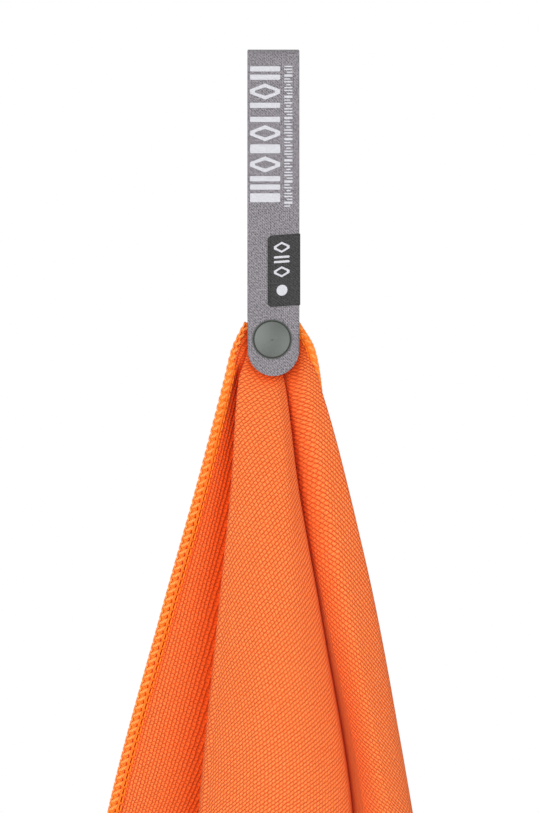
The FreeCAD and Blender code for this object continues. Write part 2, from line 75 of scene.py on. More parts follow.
RIBBON_WIDTH = 20.0
RIBBON_THICK = 1.0
BEND_RADIUS = 2.5  # inside the bend over the rail
LEG_Y = BEND_RADIUS + RIBBON_THICK / 2  # middle of each leg of the loop
RIBBON_FACE = LEG_Y + RIBBON_THICK / 2  # outside of each leg
SNAP_X = -0.5
SNAP_Z = -108.1
WAIST = 0.45  # how much the ribbon draws in beside the stud
WAIST_REACH = 5.0
TIP_CENTRE_Z = -112.2
BACK_LEG_END_Z = -121.5
BACK_LEG_CORNER = 9.9
BACK_LEG_CENTRE_Z = BACK_LEG_END_Z + BACK_LEG_CORNER
STITCH_PITCH = 3.1  # of the overlocked edge

# The woven label, before it is turned askew.
LABEL_LEFT = -2.2
LABEL_TOP = -67.9
LABEL_BOTTOM = -95.3
LABEL_CORNER = 1.2
LABEL_THICK = 0.32
LABEL_RISE = 0.34  # from the ribbon's face to the label's
LABEL_SLANT = math.tan(math.radians(4.0))
LABEL_CENTRE_X = 3.9

# The square of stitches between the strap and the cloth.
SEAM_HALF = 6.4
SEAM_TOP = -102.35
SEAM_BOTTOM = -118.2
SEAM_STITCH = 3.0  # least pitch
SEAM_RADIUS = 0.2
SEAM_RISE_STRAP = 0.2
SEAM_RISE_CLOTH = 0.28
SEAM_SINK = 0.02

# The folds of the hung sheet from its left edge round to its right edge. Each row is a fold line: its angle
# in the flat sheet, in degrees from the left half of the short edge, its distance across the hem, and its
# x and y at each of these levels. Negative y is towards the front.
LEVELS = (-101.5, -112.0, -124.0, -165.0, -215.0, -290.0, -343.0, -700.0, -1108.0)
FOLDS = (
    # angle, hem, then (x, y) at the first six levels, and at the last three
    (0, -250, (-10.6, 4.5), (-15.6, 4.6), (-18.6, 4.6), (-29.2, 4.4), (-43.2, 4.2), (-63.2, 4.0),
     (-73.4, 4.5), (-77, 6), (-80, 6)),
    (10, -205, (-9.8, 4.5), (-12.9, 4.8), (-13.9, 7.4), (-17.4, 8.2), (-22.8, 7.7), (-31.4, 6.5),
     (-37, 6), (-37, 7), (-37, 7)),
    (22, -168, (-9.0, 4.5), (-7.5, 5.0), (2.0, 7.6), (12.0, 7.6), (20.9, 7.0), (30, 6.0),
     (32, 6.5), (24, 7), (18, 7)),
    (36, -132, (-8.5, 4.5), (-9.5, 4.3), (-13.2, 3.2), (-16.2, -0.6), (-21.8, -3.2), (-31.0, -6.0),
     (-36, -7), (-38, -9), (-40, -8)),
    (39, -115, (-8.0, 4.5), (-8.6, 4.2), (-11.8, 2.0), (-15.0, -3.2), (-20.0, -7.6), (-27.5, -13.0),
     (-31, -16), (-31, -18), (-31, -17)),
    (47, -88, (-6.0, 4.5), (-5.2, 4.2), (-5.0, 1.9), (-4.6, -6.0), (-5.4, -12.8), (-7.0, -20.0),
     (-7, -22), (-5, -25), (-5, -25)),
    (54, -55, (-3.0, 4.5), (-2.0, 4.2), (1.0, 2.4), (5.0, -5.8), (8.0, -12.5), (13.0, -19.5),
     (17, -21), (18, -21), (16, -21)),
    (62, -25, (0.0, 4.5), (0.6, 4.4), (3.9, 3.7), (9.4, -1.0), (19.0, -3.0), (32.4, -6.4),
     (36, -8.5), (32, -9.5), (31, -9.5)),
    (97, 5, (3.0, 4.5), (2.4, 4.6), (-1.5, 6.0), (2.0, 4.8), (6.4, 3.4), (14.0, 1.6),
     (17, 1), (15, 0), (15, -1)),
    (132, 40, (6.0, 4.5), (5.8, 4.6), (5.8, 5.6), (9.6, 3.2), (20.2, -1.4), (34.4, -5.2),
     (38, -7.0), (34, -6.5), (33, -6)),
    (137, 60, (8.0, 4.5), (9.0, 4.4), (12.2, 3.2), (20.0, -0.6), (30.0, -6.4), (44.0, -12.0),
     (52, -12), (52, -8), (53, -7)),
    (146, 84, (8.6, 4.5), (12.2, 4.5), (17.2, 4.6), (29.6, 4.0), (42.6, 4.0), (58.8, 3.6),
     (69, 5), (71, 6), (72, 7)),
    (163, 165, (9.2, 4.5), (13.8, 4.8), (12.6, 8.6), (4.0, 11.0), (-6.3, 13.1), (-22, 16),
     (-34, 18), (-32, 20), (-28, 21)),
    (180, 250, (9.6, 4.5), (15.6, 4.6), (17.9, 8.4), (21.6, 14.6), (25.7, 17.9), (32, 22),
     (38, 26), (54, 29), (60, 30)),
)


def hermite(z, levels, values):
    """A smooth line through the values at falling levels that doesn't overshoot them."""
    levels, values = -np.asarray(levels, float), np.asarray(values, float)
    z = -np.asarray(z, float)
    step = np.diff(levels)
    rise = np.diff(values) / step
    slope = np.empty_like(values)
    slope[0], slope[-1] = rise[0], rise[-1]
    same = rise[:-1] * rise[1:] > 0
    safe = np.where(same, rise[:-1] + rise[1:], 1.0)
    slope[1:-1] = np.where(same, 2 * rise[:-1] * rise[1:] / safe, 0.0)
    i = np.clip(np.searchsorted(levels, z, side="right") - 1, 0, len(step) - 1)
    t = (z - levels[i]) / step[i]
    a = (1 + 2 * t) * (1 - t) ** 2
    b = t * (1 - t) ** 2
    c = t * t * (3 - 2 * t)
    d = t * t * (t - 1)
    return a * values[i] + b * step[i] * slope[i] + c * values[i + 1] + d * step[i] * slope[i + 1]


def smooth_step(x):
    """Rises from 0 to 1 as x does, level at both ends."""
    x = np.clip(x, 0.0, 1.0)
    return x * x * (3 - 2 * x)


def soften(values, width):
    """Rounds a row of values with a bell of that width in steps. The two ends stay where they are."""
    reach = int(3 * width) + 1
    bell = np.exp(-0.5 * (np.arange(-reach, reach + 1) / width) ** 2)
    bell /= bell.sum()
    head = 2 * values[0] - values[reach:0:-1]
    tail = 2 * values[-1] - values[-2:-reach - 2:-1]
    return np.convolve(np.concatenate([head, values, tail]), bell, mode="valid")


# ---------------------------------------------------------------- mesh helpers


def add_mesh(name, points, faces, uv=None, smooth=True):
    """A mesh object from points in millimetres. uv is one pair for each point."""
    mesh = bpy.data.meshes.new(name)
    mesh.from_pydata([tuple(p) for p in np.asarray(points, float) * MM], [], [tuple(f) for f in faces])
    if uv is not None:
        layer = mesh.uv_layers.new(name="UVMap")
        index = np.empty(len(mesh.loops), dtype=np.int64)
        mesh.loops.foreach_get("vertex_index", index)
        layer.data.foreach_set("uv", np.asarray(uv, float)[index].ravel())
    if smooth:
        mesh.polygons.foreach_set("use_smooth", [True] * len(mesh.polygons))
    mesh.update()
    obj = bpy.data.objects.new(name, mesh)
    bpy.context.scene.collection.objects.link(obj)
    return obj


def grid_faces(rows, columns, close=False):
    """Quads of a grid whose points are stored row by row. close joins the last column to the first."""
    faces = []
    last = columns if close else columns - 1
    for i in range(rows - 1):
        for j in range(last):
            k = (j + 1) % columns
            faces.append((i * columns + j, i * columns + k, (i + 1) * columns + k, (i + 1) * columns + j))
    return faces


SIDE_HINT = (0.31, 0.83, 0.46)  # a direction that no thread follows


def tubes(name, paths, radius, sides=6):
    """Round threads along paths, closed at both ends, as one mesh. UV runs along each thread and round it, in
    metres."""
    points, faces, uv = [], [], []
    angles = np.arange(sides) * 2 * math.pi / sides
    for path in paths:
        path = np.asarray(path, float)
        along = np.gradient(path, axis=0)
        along /= np.linalg.norm(along, axis=1)[:, None] + 1e-12
        side = np.cross(along, SIDE_HINT)
        side /= np.linalg.norm(side, axis=1)[:, None] + 1e-12
        up = np.cross(along, side)
        rings = path[:, None, :] + radius * (
            np.cos(angles)[None, :, None] * side[:, None, :] + np.sin(angles)[None, :, None] * up[:, None, :])
        base = len(points)
        run = np.concatenate([[0.0], np.cumsum(np.linalg.norm(np.diff(path, axis=0), axis=1))])
        points.extend(rings.reshape(-1, 3))
        uv.extend((run[i] * MM, radius * angles[j] * MM) for i in range(len(path)) for j in range(sides))
        faces.extend(tuple(base + k for k in f) for f in grid_faces(len(path), sides, close=True))
        faces.append(tuple(base + k for k in reversed(range(sides))))
        faces.append(tuple(base + (len(path) - 1) * sides + k for k in range(sides)))
    return add_mesh(name, points, faces, uv)


# ---------------------------------------------------------------- materials


class Nodes:
    """Short names for building a node material."""

    def __init__(self, name):
        self.material = bpy.data.materials.new(name)
        self.material.use_nodes = True
        self.tree = self.material.node_tree
        self.shader = self.tree.nodes["Principled BSDF"]

    def add(self, kind, **settings):
        node = self.tree.nodes.new(kind)
        for key, value in settings.items():
            setattr(node, key, value)
        return node

    def link(self, source, target):
        """Joins an output to an input."""
        self.tree.links.new(source, target)

    def put(self, value, socket):
        """Sets an input to a number or colour, or links an output to it."""
        if isinstance(value, bpy.types.NodeSocket):
            self.link(value, socket)
        else:
            socket.default_value = value

    def math(self, operation, a, b=0.0):
        node = self.add("ShaderNodeMath", operation=operation)
        self.put(a, node.inputs[0])
        self.put(b, node.inputs[1])
        return node.outputs[0]

    def total(self, *parts):
        """The sum of (value, share) pairs, each value times its share."""
        value, share = parts[0]
        first = self.math("MULTIPLY", value, share)
        return self.math("ADD", first, self.total(*parts[1:])) if parts[1:] else first

    def wave(self, turn):
        """A sine wave between 0 and 1."""
        return self.math("ADD", self.math("MULTIPLY", self.math("SINE", turn), 0.5), 0.5)

    def loops(self, count):
        """A row of rounded humps, one between each whole number and the next."""
        return self.math("ABSOLUTE", self.math("SINE", self.math("MULTIPLY", count, math.pi)))

    def gap(self, humps, low, high, depth):
        """1 on the humps, less by depth between them."""
        off = self.math("SUBTRACT", 1.0, self.ramp(humps, low, high))
        return self.math("SUBTRACT", 1.0, self.math("MULTIPLY", off, depth))

    def mix(self, factor, a, b):
        node = self.add("ShaderNodeMix", data_type="RGBA")
        self.put(factor, node.inputs["Factor"])
        self.put(a, node.inputs["A"])
        self.put(b, node.inputs["B"])
        return node.outputs["Result"]

    def wander(self, vector, scale, amount):
        """A slow drift about 0."""
        return self.math("MULTIPLY", self.math("SUBTRACT", self.noise(vector, scale), 0.5), amount)

    def noise(self, vector, scale, detail=2.0, roughness=0.5):
        node = self.add("ShaderNodeTexNoise")
        self.link(vector, node.inputs["Vector"])
        node.inputs["Scale"].default_value = scale
        node.inputs["Detail"].default_value = detail
        node.inputs["Roughness"].default_value = roughness
        return node.outputs["Fac"]

    def ramp(self, factor, low, high):
        node = self.add("ShaderNodeMapRange", interpolation_type="SMOOTHSTEP")
        self.put(factor, node.inputs["Value"])
        node.inputs["From Min"].default_value = low
        node.inputs["From Max"].default_value = high
        return node.outputs["Result"]

    def open_air(self, distance):
        """How open the surface is to other surfaces within a distance in metres: 0 is closed in."""
        node = self.add("ShaderNodeAmbientOcclusion", samples=8)
        node.inputs["Distance"].default_value = distance
        return node.outputs["AO"]

    def uv(self):
        node = self.add("ShaderNodeUVMap", uv_map="UVMap")
        parts = self.add("ShaderNodeSeparateXYZ")
        self.link(node.outputs["UV"], parts.inputs["Vector"])
        return node.outputs["UV"], parts.outputs["X"], parts.outputs["Y"]

    def place(self):
        return self.add("ShaderNodeTexCoord").outputs["Object"]

    def bump(self, height, distance, strength):
        node = self.add("ShaderNodeBump")
        node.inputs["Distance"].default_value = distance
        node.inputs["Strength"].default_value = strength
        self.link(height, node.inputs["Height"])
        return node.outputs["Normal"]

    def finish(self, colour, roughness, normal, **fixed):
        """Fills in the shader. fixed names more of its inputs, with _ for a space."""
        self.put(colour, self.shader.inputs["Base Color"])
        self.put(roughness, self.shader.inputs["Roughness"])
        self.link(normal, self.shader.inputs["Normal"])
        for key, value in fixed.items():
            self.shader.inputs[key.replace("_", " ")].default_value = value
        return self.material


def knit_material():
    """Short-looped knit: courses of small staggered pillows with dark gaps, a little uneven, with painted
    shade, a deeper red, where the folds close on each other."""
    n = Nodes("towel_knit")
    vector, u, v = n.uv()
    size = 1 / (KNIT_PITCH * MM)
    wander = n.wander(vector, 380.0, 0.0009)
    course = n.math("MULTIPLY", n.math("ADD", v, wander), size)
    stagger = n.math("MULTIPLY", n.math("MODULO", n.math("FLOOR", course), 3.0), 1 / 3)
    stitch = n.math("ADD", n.math("MULTIPLY", n.math("SUBTRACT", u, wander), size), stagger)
    along, across = n.loops(course), n.loops(stitch)
    fuzz = n.noise(vector, 2300.0, 3.0, 0.65)
    pillow = n.math("MULTIPLY", n.math("POWER", across, 0.3), n.math("POWER", along, 0.7))
    height = n.math("ADD", pillow, n.math("MULTIPLY", fuzz, 0.45))

    uneven = n.ramp(n.noise(vector, 700.0), 0.3, 0.7)
    row_depth = n.math("ADD", n.math("MULTIPLY", uneven, 0.35), 0.5)
    dot_depth = n.math("SUBTRACT", 0.85, n.math("MULTIPLY", uneven, 0.4))
    lit = n.math("MULTIPLY", n.gap(along, 0.05, 0.65, row_depth), n.gap(across, 0.0, 0.55, dot_depth))

    patch = n.noise(vector, 55.0, 3.0)
    loop = n.mix(patch, (0.99, 0.170, 0.026, 1), (1.0, 0.212, 0.043, 1))
    tips = n.mix(n.ramp(fuzz, 0.42, 0.72), loop, (1.0, 0.36, 0.135, 1))
    plain = n.mix(lit, (0.72, 0.030, 0.001, 1), tips)
    # painted shade: the colour turns a deeper red where other cloth is within 45 mm, and deeper still within
    # 8 mm
    fold_shaded = n.mix(n.ramp(n.open_air(0.045), 0.45, 1.02), (0.99, 0.085, 0.006, 1), plain)
    colour = n.mix(n.ramp(n.open_air(0.008), 0.22, 0.85), (0.56, 0.015, 0.001, 1), fold_shaded)
    return n.finish(colour, 0.92, n.bump(height, 0.0008, 0.9), Sheen_Weight=0.12, Sheen_Roughness=0.5,
                    Sheen_Tint=(1.0, 0.6, 0.4, 1), Specular_IOR_Level=0.1)


PLY_TURN = 5200.0  # twist of a sewing thread, in radians for each metre


def thread_material(name, dark, light, sheen):
    """Twisted thread: slanting plies with a slight colour change along them."""
    n = Nodes(name)
    vector, u, v = n.uv()
    ply = n.wave(n.total((u, PLY_TURN), (v, PLY_TURN)))
    mixed = n.total((ply, 0.65), (n.noise(n.place(), 900.0), 0.35))
    return n.finish(n.mix(mixed, dark, light), 0.6, n.bump(ply, 0.00018, 0.6), Sheen_Weight=sheen,
                    Sheen_Roughness=0.4, Specular_IOR_Level=0.3)


def ribbon_material(name, dark, light, pitch, slope, roughness):
    """Twill ribbon: fine slanting ribs, crossed by the weft. pitch is between ribs, and slope is how far they
    slant."""
    n = Nodes(name)
    vector, u, v = n.uv()
    turn = 2 * math.pi / (pitch * MM)
    slant = n.math("ADD", n.math("ADD", n.math("MULTIPLY", u, slope), v), n.wander(vector, 700.0, 0.0004))
    rib = n.wave(n.math("MULTIPLY", slant, turn))
    weft = n.wave(n.math("MULTIPLY", u, turn * 1.3))
    weave = n.total((rib, 0.7), (weft, 0.3))
    soil = n.noise(vector, 130.0, 4.0)
    speck = n.ramp(n.noise(vector, 1500.0, 2.0, 0.6), 0.38, 0.62)
    tone = n.total((weave, 0.45), (soil, 0.15), (speck, 0.4))
    return n.finish(n.mix(tone, dark, light), roughness, n.bump(weave, 0.00012, 0.8), Sheen_Weight=0.15,
                    Specular_IOR_Level=0.25)


RIM_SHADE_BLUR = 0.12  # half the step from the paint to the painted shade at the rim


def metal_material(name, colour, worn, metallic, roughness, rim=None):
    """Painted or bare metal: a faint orange-peel surface and rubbed patches. A rim is a radius outside which
    the surface round the stud's axis gets painted shade, a dark ring for the shadowed gap at the cap's edge."""
    n = Nodes(name)
    place = n.place()
    peel = n.noise(place, 2200.0)
    rub = n.ramp(n.noise(place, 320.0, 5.0, 0.65), 0.52, 0.8)
    n.shader.inputs["Metallic"].default_value = metallic
    rough = n.math("ADD", n.math("MULTIPLY", rub, 0.12), roughness)
    tone = n.mix(rub, colour, worn)
    if rim is not None:
        parts = n.add("ShaderNodeSeparateXYZ")
        n.link(place, parts.inputs["Vector"])
        across = n.math("SUBTRACT", parts.outputs["X"], SNAP_X * MM)
        up = n.math("SUBTRACT", parts.outputs["Z"], SNAP_Z * MM)
        reach = n.math("SQRT", n.math("ADD", n.math("MULTIPLY", across, across), n.math("MULTIPLY", up, up)))
        edge = n.ramp(reach, (rim - RIM_SHADE_BLUR) * MM, (rim + RIM_SHADE_BLUR) * MM)
        # painted shade: a dark ring round the stud's axis outside the rim radius
        tone = n.mix(edge, tone, (0.055, 0.062, 0.056, 1))
    return n.finish(tone, rough, n.bump(peel, 0.00004, 0.35), Specular_IOR_Level=0.5)


def print_material():
    """Pale screen print on the ribbon, broken a little by the weave."""
    n = Nodes("pale_print")
    grain = n.noise(n.place(), 2600.0)
    colour = n.mix(n.ramp(grain, 0.3, 0.7), (0.42, 0.42, 0.45, 1), (0.56, 0.56, 0.60, 1))
    return n.finish(colour, 0.7, n.bump(grain, 0.00006, 0.6), Specular_IOR_Level=0.3)


KNIT = knit_material()
EDGE_THREAD = thread_material("overlock_thread", (0.98, 0.19, 0.008, 1), (1.0, 0.39, 0.09, 1), 0.15)
EDGE_LINE = thread_material("overlock_line", (0.93, 0.13, 0.002, 1), (1.0, 0.25, 0.01, 1), 0.1)
LABEL_THREAD = thread_material("label_thread", (0.012, 0.012, 0.013, 1), (0.06, 0.06, 0.06, 1), 0.1)
GREY_THREAD = thread_material("grey_thread", (0.40, 0.39, 0.40, 1), (0.66, 0.65, 0.66, 1), 0.1)
RIBBON = ribbon_material("strap_ribbon", (0.025, 0.023, 0.026, 1), (0.345, 0.323, 0.350, 1), 1.05, 1.0, 0.8)
LABEL = ribbon_material("label_weave", (0.002, 0.002, 0.002, 1), (0.060, 0.060, 0.060, 1), 1.05, 0.8, 0.7)
PRINT = print_material()
# the cap's painted shade ring starts 6.95 mm from the stud's axis
CAP = metal_material("cap_paint", (0.098, 0.106, 0.098, 1), (0.116, 0.122, 0.114, 1), 0.6, 0.4, rim=6.95)
METAL = metal_material("press_metal", (0.62, 0.60, 0.56, 1), (0.45, 0.43, 0.40, 1), 1.0, 0.28)
SPRING_STEEL = metal_material("spring_steel", (0.55, 0.55, 0.56, 1), (0.4, 0.4, 0.4, 1), 1.0, 0.25)


# ---------------------------------------------------------------- the sheet of cloth


FINE_END_Z = -318.0
FINE_ROWS = 100
COARSE_ROWS = 107
COLUMNS_LEAST = 8
COLUMNS_PER_DEGREE = 0.75
COLUMNS_PER_MM = 0.12


def sheet_rows():
    """Levels of the mesh's rows: close together where the folds leave the loop, wider apart below."""
    fine = np.linspace(LEVELS[0], FINE_END_Z, FINE_ROWS)
    return np.concatenate([fine, np.linspace(FINE_END_Z, LEVELS[-1], COARSE_ROWS + 1)[1:]])


def sheet_columns():
    """Where the mesh's columns are between the fold lines, counted in fold lines."""
    places = []
    for i, (a, b) in enumerate(zip(FOLDS, FOLDS[1:])):
        wanted = round(abs(b[0] - a[0]) * COLUMNS_PER_DEGREE + abs(b[1] - a[1]) * COLUMNS_PER_MM)
        places.append(np.linspace(i, i + 1, max(COLUMNS_LEAST, wanted), endpoint=False))
    return np.append(np.concatenate(places), len(FOLDS) - 1.0)


def sway(x, z):
    """Slow waves of the hanging cloth, which grow from the seam down. They depend on place alone, so the
    layers keep their distance."""
    depth = smooth_step((-z - 250.0) / 500.0)
    wave_y = 2.2 * np.sin(x / 17.0 + z / 120.0) + 1.4 * np.sin(x / 9.0 - z / 75.0 + 1.3)
    wave_x = 3.0 * np.sin(z / 160.0 + 0.6) + 1.5 * np.sin(z / 71.0)
    soft = 0.25 + 0.75 * depth
    return depth * wave_x, soft * smooth_step((-z - 130.0) / 120.0) * wave_y


FOLD_ROUND_TOP = 1.5  # width of the bell that rounds the folds, in columns
FOLD_ROUND_MORE = 2.0  # how much wider it gets further down
HEM_WAVE = 14.0
HEM_RIPPLE = 6.0


def make_sheet():
    """The middle surface of the hung sheet, as a grid of points, and the flat place of each point."""
    rows, columns = sheet_rows(), sheet_columns()
    fold_x = np.array([hermite(rows, LEVELS, [p[0] for p in f[2:]]) for f in FOLDS])
    fold_y = np.array([hermite(rows, LEVELS, [p[1] for p in f[2:]]) for f in FOLDS])
    lines = np.arange(len(FOLDS))
    points = np.empty((len(rows), len(columns), 3))
    for i, z in enumerate(rows):
        x = np.interp(columns, lines, fold_x[:, i])
        y = np.interp(columns, lines, fold_y[:, i])
        width = FOLD_ROUND_TOP + FOLD_ROUND_MORE * smooth_step((-z - 120.0) / 200.0)
        points[i, :, 0] = soften(x, width)
        points[i, :, 1] = soften(y, width)
        points[i, :, 2] = z
    hem_drop = HEM_WAVE * np.cos(columns / columns[-1] * 4 * math.pi) + HEM_RIPPLE * np.sin(columns * 1.7)
    share = smooth_step((-rows - 500.0) / 600.0)
    points[:, :, 2] += share[:, None] * hem_drop[None, :]
    dx, dy = sway(points[:, :, 0], points[:, :, 2])
    points[:, :, 0] += dx
    points[:, :, 1] += dy
    return points, flat_places(points, columns)


HEAD_HALF = 9.6  # half of the short edge's stretch behind the strap


def flat_places(points, columns):
    """Where each point of the hung sheet lies in the flat one. Each column leaves the loop at its own angle
    and turns to run down the sheet."""
    lines = np.arange(len(FOLDS))
    angle = np.radians(np.interp(columns, lines, [f[0] for f in FOLDS]))
    hem = np.interp(columns, lines, [f[1] for f in FOLDS])
    start = -HEAD_HALF + 2 * HEAD_HALF * smooth_step((np.degrees(angle) - 50.0) / 80.0)
    step = np.linalg.norm(np.diff(points, axis=0), axis=2)
    run = np.vstack([np.zeros(len(columns)), np.cumsum(step, axis=0)])
    aslant = np.maximum(np.abs(np.cos(angle)), 0.12)
    turn_at = np.maximum(np.abs(hem - start) / aslant, TURN_LEAST)
    turned = smooth_step((run / turn_at - 0.7) / 1.1)
    heading = angle + (math.pi / 2 - angle) * turned
    middle = (heading[1:] + heading[:-1]) / 2
    u = start + np.vstack([np.zeros(len(columns)), np.cumsum(-np.cos(middle) * step, axis=0)])
    v = np.vstack([np.zeros(len(columns)), np.cumsum(np.sin(middle) * step, axis=0)])
    close = 1 + np.exp(-np.hypot(u, v) / CLOSE_REACH)
    return np.stack([u * close, v * close], axis=2)


def surface_normals(points):
    """Unit normals of a grid of points, out of the cloth's front."""
    normal = np.cross(np.gradient(points, axis=1), np.gradient(points, axis=0))
    return normal / (np.linalg.norm(normal, axis=2)[:, :, None] + 1e-9)


def build_towel(points, flat):
    """The cloth: the middle surface with its thickness, closed all round."""
    rows, columns = points.shape[:2]
    normal = surface_normals(points)
    front = points + normal * CLOTH_THICK / 2
    back = points - normal * CLOTH_THICK / 2
    both = np.concatenate([front.reshape(-1, 3), back.reshape(-1, 3)])
    count = rows * columns
    faces = grid_faces(rows, columns)
    shell = [f[::-1] for f in faces] + [tuple(k + count for k in f) for f in faces]
    rim = (list(range(columns)) + [i * columns + columns - 1 for i in range(1, rows)]
           + [(rows - 1) * columns + j for j in range(columns - 2, -1, -1)]
           + [i * columns for i in range(rows - 2, 0, -1)])
    for a, b in zip(rim, rim[1:] + rim[:1]):
        shell.append((a, b, b + count, a + count))
    uv = np.concatenate([flat.reshape(-1, 2), flat.reshape(-1, 2)]) * MM
    towel = add_mesh("towel_sheet", both, shell, uv)
    towel.data.materials.append(KNIT)
    return towel


# ---------------------------------------------------------------- the overlocked edge


def along_edge(edge, inward, normal, distance):
    """Points, inward directions and normals at given distances along an edge."""
    run = np.concatenate([[0.0], np.cumsum(np.linalg.norm(np.diff(edge, axis=0), axis=1))])

    def pick(values):
        return np.stack([np.interp(distance, run, values[:, k]) for k in range(3)], axis=1)

    place, into, up = pick(edge), pick(inward), pick(normal)
    into /= np.linalg.norm(into, axis=1)[:, None] + 1e-9
    up /= np.linalg.norm(up, axis=1)[:, None] + 1e-9
    return place, into, up


# Threads of one overlock stitch, seen on one face: place along the stitch in pitches, distance in from the
# edge, height over the middle of the cloth, and at the end the thread's radius.
OVER_LOOP = (((1.02, -0.1, 0.5), (0.92, 0.2, 1.2), (0.74, 0.75, 1.6), (0.55, 1.35, 1.65), (0.36, 1.9, 1.4),
              (0.28, 2.2, 1.0)), 0.58)
UNDER_LOOP = (((0.05, -0.1, 0.5), (0.2, 0.6, 1.0), (0.6, 2.0, 1.05), (1.0, 3.6, 0.95)), 0.55)
INNER_LINE = (((0.0, 2.65, 1.0), (0.25, 2.75, 1.2), (0.5, 2.6, 1.25), (0.75, 2.7, 1.2),
               (1.0, 2.65, 1.0)), 0.5)
SECOND_LINE = (((0.0, 3.3, 1.0), (0.25, 3.4, 1.15), (0.5, 3.3, 1.2), (0.75, 3.4, 1.15),
                (1.0, 3.3, 1.0)), 0.48)
NEEDLE_LINE = (((0.06, 3.95, 0.5), (0.2, 3.95, 1.0), (0.5, 3.95, 1.1), (0.8, 3.95, 1.0),
                (0.94, 3.95, 0.5)), 0.4)
EDGE_CHAIN = (((0.0, -0.2, 0.55), (0.25, -0.4, 0.2), (0.5, -0.2, -0.5), (0.75, -0.4, -0.2),
               (1.0, -0.2, 0.55)), 0.45)

# The closely packed thread under the loops, as one round bundle along the edge.
BED_RADIUS = 1.15
BED_CENTRE = 1.1
BED_STEP = 1.5

# The band is narrow at the start of an edge and reaches its full width this far along.
NARROW_REACH = 90.0


def overlock(name, edge, inward, normal, narrow=0.0):
    """The threads that wrap an edge. The band is narrower by that share where the edge starts."""
    length = np.linalg.norm(np.diff(edge, axis=0), axis=1).sum()
    stitches = int(length / STITCH_PITCH)
    pitch = length / stitches

    def band(s):
        return 1 - narrow * (1 - smooth_step(s / NARROW_REACH))

    def laid(thread, face):
        steps = np.array(thread[0])
        paths = []
        for k in range(stitches):
            s = np.clip((steps[:, 0] + k) * pitch, 0.0, length)
            place, into, up = along_edge(edge, inward, normal, s)
            across = into * (steps[:, 1] * band(s))[:, None]
            paths.append(place + across + up * (steps[:, 2] * face * band(s))[:, None])
        return paths

    run = np.linspace(0.0, length, int(length / BED_STEP))
    place, into, _ = along_edge(edge, inward, normal, run)
    bed = tubes("bed", [place + into * (BED_CENTRE * band(run))[:, None]], BED_RADIUS, 10)
    bed.data.materials.append(EDGE_LINE)
    made = []
    for suffix, material, threads in (
            ("", EDGE_THREAD, ((OVER_LOOP, 1), (OVER_LOOP, -1), (EDGE_CHAIN, 1))),
            ("_lines", EDGE_LINE, ((UNDER_LOOP, 1), (UNDER_LOOP, -1), (INNER_LINE, 1), (INNER_LINE, -1),
                                   (SECOND_LINE, 1), (NEEDLE_LINE, 1), (NEEDLE_LINE, -1)))):
        parts = []
        for thread, face in threads:
            part = tubes(name + suffix, laid(thread, face), thread[1])
            part.data.materials.append(material)
            parts.append(part)
        if suffix:
            parts.append(bed)
        made.append(join(parts, name + suffix))
    return made


TOPMOST_ROWS = 12
INNER_COLUMNS = 2  # how far in the direction into the cloth is taken
INNER_ROWS = 3


def column_edge(points, column):
    """One long side of the grid as an edge, with the directions into the cloth and out of its face. The
    topmost rows are too narrow to tell the direction, so they take it from the row below them."""
    inner = INNER_COLUMNS if column == 0 else -1 - INNER_COLUMNS
    edge = points[:, column]
    normal = surface_normals(points)[:, column]
    down = np.gradient(edge, axis=0)
    down /= np.linalg.norm(down, axis=1)[:, None]
    into = points[:, inner] - edge
    into[:TOPMOST_ROWS] = into[TOPMOST_ROWS]
    into -= down * np.sum(into * down, axis=1)[:, None]
    into /= np.linalg.norm(into, axis=1)[:, None]
    up = np.cross(into, down)
    up *= np.sign(np.sum(up * normal, axis=1))[:, None]
    return edge, into, up


def hem_edge(points):
    """The lower end of the grid as an edge, with the same directions."""
    edge = points[-1]
    into = points[-1 - INNER_ROWS] - edge
    into /= np.linalg.norm(into, axis=1)[:, None]
    return edge, into, surface_normals(points)[-1]


# ---------------------------------------------------------------- the strap


def back_leg_half_width(z):
    """Half the back leg's width: it ends in a half circle."""
    drop = np.clip(-(z - BACK_LEG_CENTRE_Z), 0.0, BACK_LEG_CORNER)
    return RIBBON_WIDTH / 2 - BACK_LEG_CORNER + np.sqrt(BACK_LEG_CORNER ** 2 - drop ** 2)


def ribbon_half_width(z):
    """Half the ribbon's width: even along its length and drawn in a little beside the stud."""
    return RIBBON_WIDTH / 2 - WAIST * np.exp(-((z - SNAP_Z + 1.0) / WAIST_REACH) ** 2)


def ribbon(name, centre_line, half_width, way=1):
    """A flat ribbon along a line in the YZ plane, with rounded edges. half_width is one value for each point.
    The weave runs on from the origin in the way given."""
    line = np.asarray(centre_line, float)
    along = np.gradient(line, axis=0)
    along /= np.linalg.norm(along, axis=1)[:, None]
    out = np.stack([-along[:, 1], along[:, 0]], axis=1)
    half = RIBBON_THICK / 2
    steps = np.linspace(-1, 1, 15)
    edge = np.radians([60, 30, 0, -30, -60])
    section = np.array([(s, 0.0, 1.0) for s in steps]
                       + [(1.0, math.cos(a), math.sin(a)) for a in edge]
                       + [(s, 0.0, -1.0) for s in steps[::-1]]
                       + [(-1.0, -math.cos(a), math.sin(a)) for a in edge[::-1]])
    points, uv = [], []
    run = np.concatenate([[0.0], np.cumsum(np.linalg.norm(np.diff(line, axis=0), axis=1))])
    for i, (y, z) in enumerate(line):
        flat = max(half_width[i] - half, 0.02)
        x = section[:, 0] * flat + section[:, 1] * min(half, flat)
        lift = section[:, 2] * half
        points.append(np.stack([x, y + out[i, 0] * lift, z + out[i, 1] * lift], axis=1))
        uv.append(np.stack([x * MM, np.full(len(x), way * run[i] * MM)], axis=1))
    count = len(section)
    faces = grid_faces(len(line), count, close=True)
    faces.append(tuple(reversed(range(count))))
    faces.append(tuple((len(line) - 1) * count + k for k in range(count)))
    made = add_mesh(name, np.concatenate(points), faces, np.concatenate(uv))
    made.data.set_sharp_from_angle(angle=math.radians(40))
    made.data.materials.append(RIBBON)
    return made


